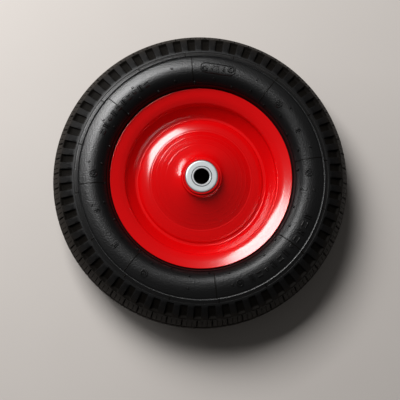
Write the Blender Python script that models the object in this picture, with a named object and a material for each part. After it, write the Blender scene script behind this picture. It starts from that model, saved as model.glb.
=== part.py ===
"""Pneumatic wheel of a wheelbarrow: lugged tyre and inner tube on a pressed steel rim.

Metres, +Z up. The wheel spins about Z, its middle is the origin, and it lies on its rear
side wall. The rim is two pressings joined back to back at their valleys, with a hub tube
through both necks and a shielded ball bearing in each end of the tube.
"""
import math

import bmesh
import bpy
from mathutils import Matrix, Vector

# Fits and sheet
FIT = 0.0003                    # gap kept between pieces that touch
SHEET = 0.0020                  # steel of the rim pressings

# Ball bearings and hub. Shares are of the height from the bore to the outer diameter.
BORE = 0.020                    # for the axle
BEARING_DIAMETER = 0.042
BEARING_WIDTH = 0.012
BALL_SHARE = 0.577
LAND_GAP_SHARE = 0.51           # gap between the lands of the two rings
SHIELD_GAP_SHARE = 0.05         # shield to inner ring
CAGE_WALL_SHARE = 0.2
BALLS = 9
RACE_PLAY = 0.00045             # ball to raceway
SHIELD = 0.0005
SHIELD_DEPTH = 0.0003           # shield below the ring's face
HUB_LENGTH = 0.090              # over the bearing faces
TUBE_WALL = 0.0020
BEARING_PROUD = 0.0010          # bearing face past the tube's end
SPACER_WALL = 0.0025

# Rim pressing, measured at the middle of the sheet
NECK_SETBACK = 0.0040           # neck behind the bearing's face
NECK_LENGTH = 0.0055
NECK_BEND = 0.0050
FLARE_WIDTH = 0.0095            # from the neck out to the cone
FLARE_DROP = 0.0140             # from the neck's edge down to the cone
CREASE_HEIGHT = 0.0095
BAND_WIDTH = 0.0170             # from the crease out to the valley
BAND_EDGE = 0.0050              # from the band's turn out to the valley
BAND_DROP = 0.0050              # from the band's turn down to the valley
BAND_BEND = 0.0120
VALLEY_WIDTH = 0.0045
VALLEY_BEND = 0.0050
WELL_DEPTH = 0.0145             # valley below the bead seat
SEAT_DIAMETER = 0.203           # bead seat, on the tyre's side
SEAT_WIDTH = 0.0095
SEAT_TAPER = 0.0008
SHOULDER_BEND = 0.0040
FLANGE_HEIGHT = 0.0175          # lip above the bead seat
FLANGE_SPACING = 0.051          # between the flanges, at the seat
FLANGE_LEAN = 0.0055            # outward, over the flange's height

# Tyre. Shares are of the height from the rim's lip to the crown.
TYRE_DIAMETER = 0.390
SECTION_WIDTH = 0.098
WIDEST_SHARE = 0.316
SIDE_STEP_SHARE = 0.526
LUG_FOOT_SHARE = 0.638
SIDE_BEND = 0.0100              # of the bulge, before the wall runs straight to the tread
TREAD_WIDTH = 0.068
SHOULDER_DROP = 0.0100
CENTRE_RIB_WIDTH = 0.021
GROOVE_WIDTH = 0.0040
GROOVE_DEPTH = 0.0040
PITCHES = 60
LUG_SHARE = 0.46                # of the pitch
LUG_DRAFT = 0.0010
POCKET_DEPTH = 0.0034           # between the lugs, at the outer end
POCKET_EDGE = 0.0016            # slope from the pockets' ends up to the tread's edge
SIDE_STEP = 0.0009              # raised band between the step and the lugs
TREAD_THICKNESS = 0.0080
SIDEWALL = 0.0055
BEAD_WIDTH = 0.0105
BEAD_HEIGHT = 0.0050

# Inner tube and its valve
INNER_TUBE_WALL = 0.0022
INNER_TUBE_GAP = 0.0007
TUBE_BASE_LIFT = 0.0035         # over the bead seat
VALVE_ANGLE = math.radians(248)
VALVE_LENGTH = 0.0290           # rubber past the rim's sheet
VALVE_DIAMETER = 0.0110
VALVE_TIP_DIAMETER = 0.0090
INSERT_DIAMETER = 0.0064
INSERT_HEAD_DIAMETER = 0.0077
INSERT_HEAD_LENGTH = 0.0080
INSERT_BORE = 0.0050
INSERT_INNER_BORE = 0.0030
CORE_LENGTH = 0.0090
CORE_BORE = 0.0020
CORE_DEPTH = 0.0010             # core below the insert's end
PIN_DIAMETER = 0.0012
PIN_SEAL = 0.0034
PIN_SEAL_THICKNESS = 0.0010
CAP_DIAMETER = 0.0102
CAP_WALL = 0.0012
CAP_SKIRT = 0.0070

# Roundness
RIM_SEGMENTS = 36
TUBE_SEGMENTS = 28
RING_SEGMENTS = 22
CAGE_SEGMENTS = 18
INSIDE_SEGMENTS = 20
VALVE_SEGMENTS = 12
BALL_SEGMENTS = 8
BALL_RINGS = 4
POCKET_SEGMENTS = 8


def material(name, colour, roughness, metallic):
    made = bpy.data.materials.new(name)
    made.use_nodes = True
    shader = made.node_tree.nodes["Principled BSDF"]
    shader.inputs["Base Color"].default_value = (*colour, 1)
    shader.inputs["Roughness"].default_value = roughness
    shader.inputs["Metallic"].default_value = metallic
    made.diffuse_color = (*colour, 1)
    return made


def finish(name, bm, look, smooth=40):
    """Closes a bmesh into a named object, shaded smooth below the given angle."""
    bmesh.ops.remove_doubles(bm, verts=bm.verts, dist=1e-6)
    bmesh.ops.recalc_face_normals(bm, faces=bm.faces)
    mesh = bpy.data.meshes.new(name)
    bm.to_mesh(mesh)
    bm.free()
    mesh.shade_smooth()
    mesh.set_sharp_from_angle(angle=math.radians(smooth))
    mesh.materials.append(look)
    made = bpy.data.objects.new(name, mesh)
    bpy.context.scene.collection.objects.link(made)
    return made


def outside(radius, segments):
    """Corner radius of a polygon whose flats stay outside a circle."""
    return radius / math.cos(math.pi / segments)


def rounded(corners):
    """Outline of (r, z, bend radius, arc steps) corners, each sharp one kept as it is."""
    points = []
    for i, (r, z, bend, steps) in enumerate(corners):
        here = Vector((r, z))
        if not bend:
            points.append(here)
            continue
        back = (Vector(corners[i - 1][:2]) - here).normalized()
        ahead = (Vector(corners[i + 1][:2]) - here).normalized()
        half = back.angle(ahead) / 2
        middle = here + (back + ahead).normalized() * (bend / math.sin(half))
        start = here + back * (bend / math.tan(half)) - middle
        end = here + ahead * (bend / math.tan(half)) - middle
        for k in range(steps + 1):
            points.append(middle + start.slerp(end, k / steps) * bend)
    return points


def offset(path, distance):
    """Open path moved sideways by a distance, to the left of its run."""
    moved = []
    for i, here in enumerate(path):
        runs = []
        if i > 0:
            runs.append((here - path[i - 1]).normalized())
        if i < len(path) - 1:
            runs.append((path[i + 1] - here).normalized())
        normals = [Vector((-run.y, run.x)) for run in runs]
        mitre = sum(normals, Vector((0, 0))).normalized()
        moved.append(here + mitre * (distance / mitre.dot(normals[0])))
    return moved


def revolve_into(bm, section, segments):
    """Spins a closed (r, z) section once around Z."""
    corners = [bm.verts.new((r, 0, z)) for r, z in section]
    sides = [bm.edges.new((corners[i - 1], corners[i])) for i in range(len(corners))]
    sides = [side for side in sides if any(vert.co.x > 1e-7 for vert in side.verts)]
    bmesh.ops.spin(bm, geom=corners + sides, cent=(0, 0, 0), axis=(0, 0, 1),
                   angle=2 * math.pi, steps=segments, use_merge=True)


def revolve(name, section, segments, look, smooth=40):
    bm = bmesh.new()
    revolve_into(bm, section, segments)
    for edge in [edge for edge in bm.edges if not edge.link_faces]:
        bm.edges.remove(edge)
    return finish(name, bm, look, smooth)


def block(r_in, r_out, z_low, z_high):
    return [(r_in, z_low), (r_out, z_low), (r_out, z_high), (r_in, z_high)]


def cut(target, cutter, operation="DIFFERENCE"):
    """Boolean of a target with a guide object, which stays out of the build."""
    cutter.hide_render = True
    cutter.display_type = "WIRE"
    modifier = target.modifiers.new(cutter.name, "BOOLEAN")
    modifier.operation = operation
    modifier.object = cutter


# Rim

SEAT_RADIUS = SEAT_DIAMETER / 2
TUBE_BORE = outside(BEARING_DIAMETER / 2 + FIT, TUBE_SEGMENTS)
TUBE_RADIUS = TUBE_BORE + TUBE_WALL
NECK_RADIUS = outside(TUBE_RADIUS + FIT, RIM_SEGMENTS) + SHEET / 2
NECK_HEIGHT = HUB_LENGTH / 2 - NECK_SETBACK
VALLEY_END = SEAT_RADIUS - WELL_DEPTH
VALLEY_START = VALLEY_END - VALLEY_WIDTH
VALLEY_HEIGHT = (SHEET + FIT) / 2
FLANGE_FOOT = FLANGE_SPACING / 2 + SHEET / 2
LIP_RADIUS = SEAT_RADIUS + FLANGE_HEIGHT
SEAT_START = FLANGE_FOOT - SEAT_WIDTH


def rim_path():
    """Middle of the pressed sheet, from the top of the neck to the lip."""
    seat = SEAT_RADIUS - SHEET / 2
    return rounded([
        (NECK_RADIUS, NECK_HEIGHT, 0, 0),
        (NECK_RADIUS, NECK_HEIGHT - NECK_LENGTH, NECK_BEND, 2),
        (NECK_RADIUS + FLARE_WIDTH, NECK_HEIGHT - FLARE_DROP, 0, 0),
        (VALLEY_START - BAND_WIDTH, CREASE_HEIGHT, 0, 0),
        (VALLEY_START - BAND_EDGE, VALLEY_HEIGHT + BAND_DROP, BAND_BEND, 2),
        (VALLEY_START, VALLEY_HEIGHT, VALLEY_BEND, 1),
        (VALLEY_END, VALLEY_HEIGHT, 0, 0),
        (seat - SEAT_TAPER, SEAT_START, 0, 0),
        (seat, FLANGE_FOOT, SHOULDER_BEND, 2),
        (LIP_RADIUS, FLANGE_FOOT + FLANGE_LEAN, 0, 0),
    ])


def rim_half(name, side, look):
    path = rim_path()
    section = offset(path, SHEET / 2) + offset(path, -SHEET / 2)[::-1]
    return revolve(name, [(r, side * z) for r, z in section], RIM_SEGMENTS, look)


def flange_inner_face():
    """Tyre's side of the flange, from the bead heel to just under the lip."""
    path = rim_path()
    shoulder, lip = path[-2:]
    run = (lip - shoulder).normalized()
    inward = Vector((run.y, -run.x)) * (SHEET / 2 + FIT)
    heel_radius = outside(SEAT_RADIUS + FIT, PITCHES)
    heel = shoulder + run * ((heel_radius - shoulder.x + SHOULDER_BEND / 4) / run.x)
    return heel + inward, lip + inward


# Hub and bearings

def hub_tube(look):
    half = HUB_LENGTH / 2 - BEARING_PROUD
    return revolve("hub_tube", block(TUBE_BORE, TUBE_RADIUS, -half, half), TUBE_SEGMENTS, look)


PITCH_RADIUS = (BORE + BEARING_DIAMETER) / 4
BEARING_SECTION = (BEARING_DIAMETER - BORE) / 2
BALL = BALL_SHARE * BEARING_SECTION
OUTER_LAND = PITCH_RADIUS + LAND_GAP_SHARE * BEARING_SECTION / 2
INNER_LAND = PITCH_RADIUS - LAND_GAP_SHARE * BEARING_SECTION / 2
RACE_WIDTH = 0.72 * BALL


def outer_ring(name, middle, look):
    groove = outside(PITCH_RADIUS + BALL / 2 + RACE_PLAY, RING_SEGMENTS)
    half = BEARING_WIDTH / 2
    section = [
        (BEARING_DIAMETER / 2, -half), (BEARING_DIAMETER / 2, half), (OUTER_LAND, half),
        (OUTER_LAND, RACE_WIDTH / 2), (groove, 0), (OUTER_LAND, -RACE_WIDTH / 2),
        (OUTER_LAND, -half)]
    made = revolve(name, section, RING_SEGMENTS, look)
    made.location.z = middle
    return made


def inner_ring(name, middle, look):
    groove = PITCH_RADIUS - BALL / 2 - RACE_PLAY
    half = BEARING_WIDTH / 2
    bore = outside(BORE / 2, RING_SEGMENTS)
    section = [
        (bore, half), (bore, -half), (INNER_LAND, -half), (INNER_LAND, -RACE_WIDTH / 2),
        (groove, 0), (INNER_LAND, RACE_WIDTH / 2), (INNER_LAND, half)]
    made = revolve(name, section, RING_SEGMENTS, look)
    made.location.z = middle
    return made


def shield(name, middle, side, look):
    """Pressed washer on the outer side, held by the outer ring and clear of the inner one."""
    outer = (OUTER_LAND - FIT) * math.cos(math.pi / RING_SEGMENTS)
    inner = outside(INNER_LAND + SHIELD_GAP_SHARE * BEARING_SECTION, RING_SEGMENTS)
    face = BEARING_WIDTH / 2 - SHIELD_DEPTH
    made = revolve(name, block(inner, outer, face - SHIELD, face), RING_SEGMENTS, look)
    made.location.z = middle
    made.scale.z = side
    return made


def ball_place(i):
    return Matrix.Rotation(2 * math.pi * i / BALLS, 4, "Z") @ Matrix.Translation((PITCH_RADIUS, 0, 0))


def ball_set(end, middle, look):
    """Separate balls, which share the cage's origin on the axis."""
    for i in range(BALLS):
        bm = bmesh.new()
        bmesh.ops.create_uvsphere(bm, u_segments=BALL_SEGMENTS, v_segments=BALL_RINGS,
                                  radius=BALL / 2, matrix=ball_place(i))
        ball = finish(f"{end}_bearing_ball_{i + 1}", bm, look, 70)
        ball.location.z = middle


def cage(name, middle, look):
    """Ring as wide as the shield leaves room for, with a pocket for each ball.

    The pockets' flats face the rails.
    """
    wall = CAGE_WALL_SHARE * BEARING_SECTION
    pocket = outside(BALL / 2 + FIT, POCKET_SEGMENTS)
    half = BEARING_WIDTH / 2 - SHIELD_DEPTH - SHIELD - FIT
    flats = Matrix.Rotation(math.pi / POCKET_SEGMENTS, 4, "Z")
    section = block(PITCH_RADIUS - wall / 2, PITCH_RADIUS + wall / 2, -half, half)
    made = revolve(name, section, CAGE_SEGMENTS, look)
    made.location.z = middle
    bm = bmesh.new()
    for i in range(BALLS):
        place = ball_place(i) @ Matrix.Rotation(math.pi / 2, 4, "Y") @ flats
        bmesh.ops.create_cone(bm, cap_ends=True, segments=POCKET_SEGMENTS, radius1=pocket,
                              radius2=pocket, depth=3 * wall, matrix=place)
    pockets = finish(name + "_pockets", bm, look)
    pockets.location.z = middle
    cut(made, pockets)
    return made


def spacer_sleeve(look):
    """Keeps the two inner rings apart when the axle's nuts are tightened."""
    half = HUB_LENGTH / 2 - BEARING_WIDTH - FIT
    bore = outside(BORE / 2, RING_SEGMENTS)
    return revolve("spacer_sleeve", block(bore, bore + SPACER_WALL, -half, half),
                   RING_SEGMENTS, look)


def bearing(end, side, steel, zinc):
    middle = side * (HUB_LENGTH - BEARING_WIDTH) / 2
    outer_ring(end + "_bearing_outer_ring", middle, zinc)
    inner_ring(end + "_bearing_inner_ring", middle, steel)
    ball_set(end, middle, steel)
    cage(end + "_bearing_cage", middle, steel)
    shield(end + "_bearing_shield", middle, side, zinc)


# Tyre

TYRE_RADIUS = TYRE_DIAMETER / 2
SHOULDER_RADIUS = TYRE_RADIUS - SHOULDER_DROP
HALF_TREAD = TREAD_WIDTH / 2
HALF_SECTION = SECTION_WIDTH / 2
INSIDE_RADIUS = TYRE_RADIUS - TREAD_THICKNESS


def section_radius(share):
    """Radius at a share of the height from the lip to the crown."""
    return LIP_RADIUS + share * (TYRE_RADIUS - LIP_RADIUS)


WIDEST_RADIUS = section_radius(WIDEST_SHARE)


def side_wall(r):
    """Outer face of the side wall as a half width at a radius.

    An ellipse from the rim's lip to the widest place, then a hyperbola to the tread's edge.
    """
    if r < WIDEST_RADIUS:
        lip = flange_inner_face()[1]
        narrowed = (lip.y + SHEET) / HALF_SECTION
        reach = (WIDEST_RADIUS - lip.x) / math.sqrt(1 - narrowed ** 2)
        return HALF_SECTION * math.sqrt(1 - ((WIDEST_RADIUS - r) / reach) ** 2)
    drop = math.hypot(r - WIDEST_RADIUS, SIDE_BEND) - SIDE_BEND
    full_drop = math.hypot(SHOULDER_RADIUS - WIDEST_RADIUS, SIDE_BEND) - SIDE_BEND
    return HALF_SECTION - (HALF_SECTION - HALF_TREAD) * drop / full_drop


def crown(z, drop=0.0):
    """Radius of the crowned tread at a distance from the middle plane."""
    return TYRE_RADIUS - SHOULDER_DROP * (z / HALF_TREAD) ** 2 - drop


def tyre_half():
    """Rings from the bead toe out to the centre rib, each as (kind, r, z, dr, dz).

    A coarse ring has one point a pitch. A fine one has four, and steps by (dr, dz) into the
    pockets between the lugs.
    """
    heel, lip = flange_inner_face()
    toe_radius = outside(SEAT_RADIUS + FIT, PITCHES)
    toe_height = heel.y - BEAD_WIDTH
    step = section_radius(SIDE_STEP_SHARE)
    foot = section_radius(LUG_FOOT_SHARE)
    pocket_end = SHOULDER_RADIUS - POCKET_EDGE
    pocket = -POCKET_DEPTH / math.sqrt(2)
    groove_edge = CENTRE_RIB_WIDTH / 2 + GROOVE_WIDTH
    groove_middle = CENTRE_RIB_WIDTH / 2 + GROOVE_WIDTH / 2
    over_lip = lip.x + 2 * SHEET
    rings = [("coarse", toe_radius, toe_height, 0, 0),
             ("coarse", toe_radius, heel.y - SHOULDER_BEND, 0, 0),
             ("coarse", outside(heel.x, PITCHES), heel.y, 0, 0),
             ("coarse", outside(lip.x + FIT, PITCHES), lip.y, 0, 0)]
    bulge = (WIDEST_RADIUS + step) / 2
    for r in (over_lip, (over_lip + WIDEST_RADIUS) / 2, WIDEST_RADIUS, bulge, step):
        rings.append(("coarse", r, side_wall(r), 0, 0))
    rings.append(("coarse", step + SIDE_STEP / 2, side_wall(step) + SIDE_STEP, 0, 0))
    rings.append(("fine", foot, side_wall(foot) + SIDE_STEP, 0, 0))
    rings.append(("fine", pocket_end, side_wall(pocket_end) + SIDE_STEP, pocket, pocket))
    rings.append(("fine", SHOULDER_RADIUS, HALF_TREAD, 0, 0))
    rings.append(("coarse", crown(groove_edge), groove_edge, 0, 0))
    rings.append(("coarse", crown(groove_middle, GROOVE_DEPTH), groove_middle, 0, 0))
    rings.append(("coarse", crown(CENTRE_RIB_WIDTH / 2), CENTRE_RIB_WIDTH / 2, 0, 0))
    return rings


def tyre_inside():
    """Points of the air space's wall, from a bead to the crown."""
    heel, lip = flange_inner_face()
    low = SEAT_RADIUS + BEAD_HEIGHT
    points = [Vector((low, heel.y - BEAD_WIDTH))]
    lower = (LIP_RADIUS + WIDEST_RADIUS) / 2
    upper = (WIDEST_RADIUS + INSIDE_RADIUS) / 2
    points.append(Vector((LIP_RADIUS, lip.y - SIDEWALL)))
    points.append(Vector((lower, side_wall(lower) - 1.1 * SIDEWALL)))
    points.append(Vector((WIDEST_RADIUS, HALF_SECTION - SIDEWALL)))
    points.append(Vector((upper, side_wall(upper) - 1.1 * SIDEWALL)))
    points.append(Vector((INSIDE_RADIUS - SHOULDER_DROP / 2, 0.62 * HALF_TREAD)))
    return points


def column_angles(kind):
    pitch = 2 * math.pi / PITCHES
    lug = pitch * LUG_SHARE
    draft = LUG_DRAFT / TYRE_RADIUS
    steps = {"coarse": (0,), "fine": (0, lug, lug + draft, pitch - draft)}[kind]
    return [i * pitch + step for i in range(PITCHES) for step in steps]


def tyre_ring(bm, kind, r, z, dr, dz):
    """One ring of the skin. In a fine ring the third and fourth points lie between lugs."""
    verts = []
    for i, angle in enumerate(column_angles(kind)):
        low = kind == "fine" and i % 4 >= 2
        reach = r + dr if low else r
        height = z + dz if low else z
        verts.append(bm.verts.new((reach * math.cos(angle), reach * math.sin(angle), height)))
    return verts


def inside_ring(bm, r, z):
    angles = [2 * math.pi * i / INSIDE_SEGMENTS for i in range(INSIDE_SEGMENTS)]
    return [bm.verts.new((r * math.cos(a), r * math.sin(a), z)) for a in angles]


def bridge(bm, one, other):
    """Faces between two rings, where one may have a whole number of points for each of the
    other's."""
    fine, coarse = (one, other) if len(one) > len(other) else (other, one)
    share = len(fine) // len(coarse)
    for j in range(len(coarse)):
        span = [fine[(j * share + i) % len(fine)] for i in range(share, -1, -1)]
        bm.faces.new([coarse[j], coarse[(j + 1) % len(coarse)]] + span)


def tyre(look):
    bm = bmesh.new()
    half = tyre_half()
    mirrored = [(kind, r, -z, dr, -dz) for kind, r, z, dr, dz in half]
    rings = [tyre_ring(bm, *ring) for ring in half + mirrored[::-1]]
    inside = tyre_inside()
    rings += [inside_ring(bm, point.x, -point.y) for point in inside]
    rings += [inside_ring(bm, point.x, point.y) for point in inside[::-1]]
    for i in range(len(rings)):
        bridge(bm, rings[i - 1], rings[i])
    return finish("tyre", bm, look, 28)


# Inner tube and valve

def valve_frame():
    """Frame on the rear half's sheet between valley and seat, Z out of the trough."""
    low = Vector((VALLEY_END, -VALLEY_HEIGHT))
    high = Vector((SEAT_RADIUS - SHEET / 2 - SEAT_TAPER, -SEAT_START))
    run = (high - low).normalized()
    out = Vector((run.y, -run.x))
    middle = (low + high) / 2
    turn = Matrix.Rotation(VALVE_ANGLE, 4, "Z")
    tilt = Matrix.Rotation(math.atan2(out.x, out.y), 4, "Y")
    return turn @ Matrix.Translation((middle.x, 0, middle.y)) @ tilt


def towards_air(points, distance):
    """Points of the tyre's inside moved towards the middle of the air space."""
    middle = Vector(((SEAT_RADIUS + INSIDE_RADIUS) / 2, 0))
    return [point + (middle - point).normalized() * distance for point in points]


def tube_section(shrink):
    points = tyre_inside()
    base = SEAT_RADIUS + TUBE_BASE_LIFT
    low = [Vector((base, points[0].y / 2)), Vector((base + BEAD_HEIGHT, points[0].y))]
    section = towards_air(low + points[1:], INNER_TUBE_GAP + shrink)
    return [(r, z) for r, z in section] + [(r, -z) for r, z in section[::-1]]


def inner_tube(frame, look):
    """Tube with its moulded rubber valve, open to the air through the valve's bore."""
    made = revolve("inner_tube", tube_section(0), INSIDE_SEGMENTS, look)
    hollow = revolve("air_space", tube_section(INNER_TUBE_WALL), INSIDE_SEGMENTS, look)
    root = frame.translation.xy.length
    lean = frame.to_3x3().col[2].xy.length
    air_radius = SEAT_RADIUS + TUBE_BASE_LIFT + INNER_TUBE_GAP + INNER_TUBE_WALL
    deep = (air_radius + VALVE_DIAMETER / 2 - root) / lean
    body = revolve("valve_rubber", [
        (0, -deep), (VALVE_DIAMETER / 2, -deep), (VALVE_DIAMETER / 2, VALVE_LENGTH / 2),
        (VALVE_TIP_DIAMETER / 2, VALVE_LENGTH), (0, VALVE_LENGTH)], VALVE_SEGMENTS, look)
    hole_radius = INSERT_DIAMETER / 2 + FIT
    hole = revolve("valve_hole", block(0, hole_radius, -2 * deep, VALVE_LENGTH + SHEET),
                   VALVE_SEGMENTS, look)
    body.matrix_world = frame
    hole.matrix_world = frame
    cut(made, body, "UNION")
    cut(made, hollow)
    cut(made, hole)
    return made


def valve(frame, brass, plastic):
    """Brass insert, core, sprung pin and cap, all on the valve's axis."""
    tip = VALVE_LENGTH + INSERT_HEAD_LENGTH
    bottom = -SHEET
    insert = revolve("valve_stem", [
        (INSERT_INNER_BORE / 2, bottom), (INSERT_DIAMETER / 2, bottom),
        (INSERT_DIAMETER / 2, VALVE_LENGTH + FIT), (INSERT_HEAD_DIAMETER / 2, VALVE_LENGTH + FIT),
        (INSERT_HEAD_DIAMETER / 2, tip), (INSERT_BORE / 2, tip),
        (INSERT_BORE / 2, VALVE_LENGTH / 2), (INSERT_INNER_BORE / 2, VALVE_LENGTH / 2),
    ], VALVE_SEGMENTS, brass)
    core_radius = (INSERT_BORE / 2 - FIT) * math.cos(math.pi / VALVE_SEGMENTS)
    core_top = tip - CORE_DEPTH
    core_foot = core_top - CORE_LENGTH
    core = revolve("valve_core", block(CORE_BORE / 2, core_radius, core_foot, core_top),
                   VALVE_SEGMENTS, brass)
    seal_top = core_foot - FIT
    seal_foot = seal_top - PIN_SEAL_THICKNESS
    pin = revolve("valve_pin", [
        (0, seal_foot), (PIN_SEAL / 2, seal_foot), (PIN_SEAL / 2, seal_top),
        (PIN_DIAMETER / 2, seal_top), (PIN_DIAMETER / 2, tip - FIT), (0, tip - FIT),
    ], VALVE_SEGMENTS, brass)
    cap_bore = outside(INSERT_HEAD_DIAMETER / 2 + FIT, VALVE_SEGMENTS)
    cap = revolve("valve_cap", [
        (cap_bore, tip + FIT - CAP_SKIRT), (CAP_DIAMETER / 2, tip + FIT - CAP_SKIRT),
        (CAP_DIAMETER / 2, tip + CAP_WALL / 2), (CAP_DIAMETER / 2 - CAP_WALL, tip + 2 * CAP_WALL),
        (0, tip + 2 * CAP_WALL), (0, tip + FIT), (cap_bore, tip + FIT),
    ], VALVE_SEGMENTS, plastic)
    for piece in (insert, core, pin, cap):
        piece.matrix_world = frame


def main():
    for old in list(bpy.data.objects):
        bpy.data.objects.remove(old)

    red_paint = material("red_paint", (0.62, 0.004, 0.005), 0.25, 0.0)
    rubber = material("tyre_rubber", (0.012, 0.012, 0.012), 0.55, 0.0)
    soft_rubber = material("tube_rubber", (0.02, 0.02, 0.02), 0.6, 0.0)
    zinc = material("zinc_plate", (0.72, 0.73, 0.75), 0.32, 1.0)
    steel = material("bearing_steel", (0.55, 0.55, 0.56), 0.2, 1.0)
    brass = material("brass", (0.65, 0.46, 0.18), 0.35, 1.0)
    plastic = material("black_plastic", (0.02, 0.02, 0.02), 0.4, 0.0)

    tyre(rubber)
    rim_half("rim_front", 1, red_paint)
    rear = rim_half("rim_rear", -1, red_paint)
    hub_tube(red_paint)
    bearing("front", 1, steel, zinc)
    bearing("rear", -1, steel, zinc)
    spacer_sleeve(steel)

    frame = valve_frame()
    hole = revolve("rim_valve_hole", block(0, VALVE_DIAMETER / 2 + FIT, -2 * SHEET, 2 * SHEET),
                   VALVE_SEGMENTS, red_paint)
    hole.matrix_world = frame
    cut(rear, hole)
    inner_tube(frame, soft_rubber)
    valve(frame, brass, plastic)


main()
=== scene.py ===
"""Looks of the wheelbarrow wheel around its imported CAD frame.

Metres, +Z up, as in the frame: the wheel's middle is the origin and it lies on its rear side
wall. Each visible piece follows the CAD node that it stands for, with finer bends, edges and
surface relief. The side wall's marks are plain bars, dashes, dots and rings.
"""
import math

import bmesh
import bpy
import numpy as np
from mathutils import Matrix, Vector


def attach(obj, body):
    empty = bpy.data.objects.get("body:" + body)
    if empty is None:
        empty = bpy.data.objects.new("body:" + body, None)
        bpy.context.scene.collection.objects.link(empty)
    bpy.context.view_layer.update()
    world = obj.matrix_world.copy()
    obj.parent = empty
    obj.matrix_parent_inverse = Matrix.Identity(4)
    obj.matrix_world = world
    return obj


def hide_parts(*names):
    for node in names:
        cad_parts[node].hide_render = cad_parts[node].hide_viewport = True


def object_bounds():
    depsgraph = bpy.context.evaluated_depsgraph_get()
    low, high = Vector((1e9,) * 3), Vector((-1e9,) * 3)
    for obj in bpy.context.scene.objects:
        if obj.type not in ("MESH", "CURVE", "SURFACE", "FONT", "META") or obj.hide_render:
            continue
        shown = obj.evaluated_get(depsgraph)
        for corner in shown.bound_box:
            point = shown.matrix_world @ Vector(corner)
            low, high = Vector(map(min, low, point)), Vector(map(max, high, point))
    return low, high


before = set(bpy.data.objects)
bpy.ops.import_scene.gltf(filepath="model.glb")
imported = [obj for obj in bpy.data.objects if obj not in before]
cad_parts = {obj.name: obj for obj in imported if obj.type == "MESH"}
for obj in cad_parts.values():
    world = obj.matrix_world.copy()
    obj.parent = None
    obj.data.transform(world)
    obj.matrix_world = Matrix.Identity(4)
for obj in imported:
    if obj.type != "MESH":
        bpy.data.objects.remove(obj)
low_before, high_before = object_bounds()

# Fits and sheet
FIT = 0.0003                    # gap kept between pieces that touch
SHEET = 0.0020                  # steel of the rim pressings

# Bearings and hub
BORE = 0.020                    # for the axle
BEARING_DIAMETER = 0.042
BEARING_WIDTH = 0.012
BEARING_PROUD = 0.0010          # bearing face past the tube's end
INNER_LAND = 0.0127             # outside of the inner ring
OUTER_LAND = 0.0183             # inside of the outer ring
RACE_DEPTH = 0.0008
HALF_RACE = 0.0023              # half the width of a ball groove
SHIELD_BORE = 0.0135
HUB_LENGTH = 0.090              # over the bearing faces
TUBE_BORE = 0.02143             # over the bearing and its fit, at the CAD facets' corners
TUBE_WALL = 0.0020
TUBE_RADIUS = TUBE_BORE + TUBE_WALL
SPACER_WALL = 0.0025

# Rim pressing, at the middle of its sheet
SEAT_RADIUS = 0.1015            # bead seat, on the tyre's side
SEAT_WIDTH = 0.0095
SEAT_TAPER = 0.0008
SEAT_BEND = 0.0030
FLANGE_HEIGHT = 0.0175          # lip above the bead seat
LIP_RADIUS = SEAT_RADIUS + FLANGE_HEIGHT
FLANGE_FOOT = 0.0265
FLANGE_LEAN = 0.0055            # outward, over the flange's height
SHOULDER_SETBACK = 0.0014       # turn from the seat, before the flange's foot
SHOULDER_BEND = 0.0040
FLANGE_TURN_HEIGHT = 0.0065     # slight turn of the flange, above the seat
FLANGE_TURN_LEAN = 0.0021       # outward, up to that turn
FLANGE_BEND = 0.0300
SEAT_START = FLANGE_FOOT - SEAT_WIDTH
WELL_DEPTH = 0.0145             # valley below the bead seat
VALLEY_WIDTH = 0.0045
VALLEY_END = SEAT_RADIUS - WELL_DEPTH
VALLEY_START = VALLEY_END - VALLEY_WIDTH
VALLEY_HEIGHT = (SHEET + FIT) / 2
VALLEY_INNER_BEND = 0.0016
VALLEY_OUTER_BEND = 0.0020
BAND_FOOT_EDGE = 0.0022         # from the band's foot out to the valley
BAND_FOOT_DROP = 0.0037         # from the band's foot down to the valley
BAND_FOOT_BEND = 0.0010
BAND_EDGE = 0.0090              # from the band's turn out to the valley
BAND_DROP = 0.0068              # from the band's turn down to the valley
BAND_BEND = 0.0400
CREASE_RADIUS = 0.0655
CREASE_HEIGHT = 0.0095
CREASE_BEND = 0.0015
NECK_RADIUS = 0.02482           # over the tube and its fit, at the CAD facets' corners
NECK_SETBACK = 0.0040           # neck behind the bearing's face
NECK_HEIGHT = HUB_LENGTH / 2 - NECK_SETBACK
NECK_LENGTH = 0.0055
NECK_BEND = 0.0050
FLARE_WIDTH = 0.0077            # from the neck out to the cone
FLARE_DROP = 0.0121             # from the neck's edge down to the cone
FLARE_BEND = 0.0850

# Low pressed rings of the cone and the band, as (radius, height, half width)
PRESSED_RINGS = ((0.0470, 0.00012, 0.0009), (0.0545, 0.00010, 0.0009),
                 (0.0598, 0.00014, 0.0009), (0.0674, 0.00020, 0.0008))

# Tyre
TYRE_RADIUS = 0.195
HALF_SECTION = 0.049
HALF_TREAD = 0.034
SHOULDER_DROP = 0.0100
SHOULDER_RADIUS = TYRE_RADIUS - SHOULDER_DROP
WIDEST_RADIUS = 0.1430
STEP_RADIUS = 0.1590
LUG_FOOT = 0.1675
SIDE_BEND = 0.0100              # of the bulge, before the wall runs straight to the tread
BULGE = 2.5                     # power of the side wall's curve inside its widest radius
SIDE_STEP = 0.0009              # raised band between the step and the lugs
HALF_RIB = 0.0105               # half the width of the tread's middle rib
GROOVE_WIDTH = 0.0040
GROOVE_DEPTH = 0.0040
MIDDLE_SIPE_DEPTH = 0.0005      # of the middle rib's sipes
SIPE_DEPTH = 0.0016             # of the outer ribs' sipes
PITCHES = 60                    # lugs around each shoulder
TREAD_THICKNESS = 0.0080
INSIDE_RADIUS = TYRE_RADIUS - TREAD_THICKNESS
SIDEWALL = 0.0055
BEAD_WIDTH = 0.0105
BEAD_HEIGHT = 0.0050

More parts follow.
